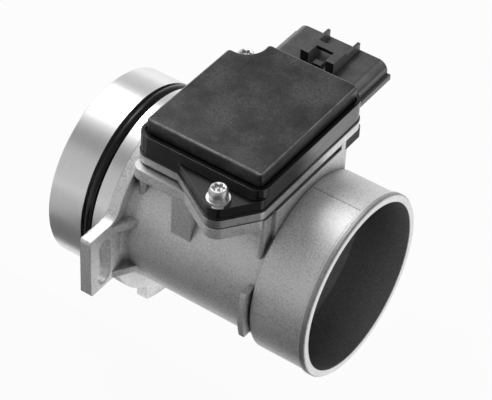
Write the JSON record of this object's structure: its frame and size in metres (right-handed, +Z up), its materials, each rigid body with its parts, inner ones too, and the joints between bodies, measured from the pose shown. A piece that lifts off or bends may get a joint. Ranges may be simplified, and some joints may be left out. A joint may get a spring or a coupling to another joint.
{
  "type": "mass airflow sensor",
  "caption": "Cast duct with an air-flow measuring module: flanged, sealed spigot at one end, beaded hose tube at the other, and a bolted electronics case with a wired connector inlet on top.",
  "frame": {"origin": "on the bore axis, in the plane of the flange's mounting face", "axes": "+X along the bore towards the hose end, +Z up to the electronics module, +Y towards the connector's mouth"},
  "size_m": [0.1179, 0.1137, 0.1103],
  "materials": {
    "cast_aluminium": "fine-grained die casting, machined on the spigot and the flange face",
    "seal_rubber": "smooth black rubber with a light film of grease",
    "base_metal": "satin",
    "case_plastic": "black moulded plastic, smooth walls and textured ear tops",
    "cover_plastic": "dark grey moulded plastic, faintly mottled on top",
    "sealant": "cured black sealant",
    "board": "coated circuit board",
    "chip": "moulded package",
    "can_metal": "drawn can",
    "terminal_metal": "stamped blade",
    "pin_steel": "drawn pin",
    "element_glaze": "glazed element",
    "fastener_steel": "bright plated steel",
    "tab_steel": "bright plated sheet"
  },
  "bodies": {
    "root": {"base_gasket": "seal_rubber", "bypass_probe": "case_plastic", "capacitor_1": "can_metal", "capacitor_2": "can_metal", "circuit_board": "board", "circuit_case": "case_plastic", "circuit_cover": "cover_plastic", "compression_bush_far": "fastener_steel", "compression_bush_near": "fastener_steel", "control_chip": "chip", "cover_sealant": "sealant", "earth_tab": "tab_steel", "element_pin_1": "pin_steel", "element_pin_2": "pin_steel", "element_pin_3": "pin_steel", "element_pin_4": "pin_steel", "flat_washer_far": "fastener_steel", "flat_washer_near": "fastener_steel", "hot_element": "element_glaze", "housing_casting": "cast_aluminium", "module_base_plate": "base_metal", "module_screw_far": "fastener_steel", "module_screw_near": "fastener_steel", "power_transistor": "chip", "probe_seal": "seal_rubber", "spigot_o_ring": "seal_rubber", "spring_washer_far": "fastener_steel", "spring_washer_near": "fastener_steel", "temperature_element": "element_glaze", "terminal_1": "terminal_metal", "terminal_2": "terminal_metal", "terminal_3": "terminal_metal", "terminal_4": "terminal_metal", "terminal_5": "terminal_metal", "terminal_6": "terminal_metal"}
  },
  "joints": []
}
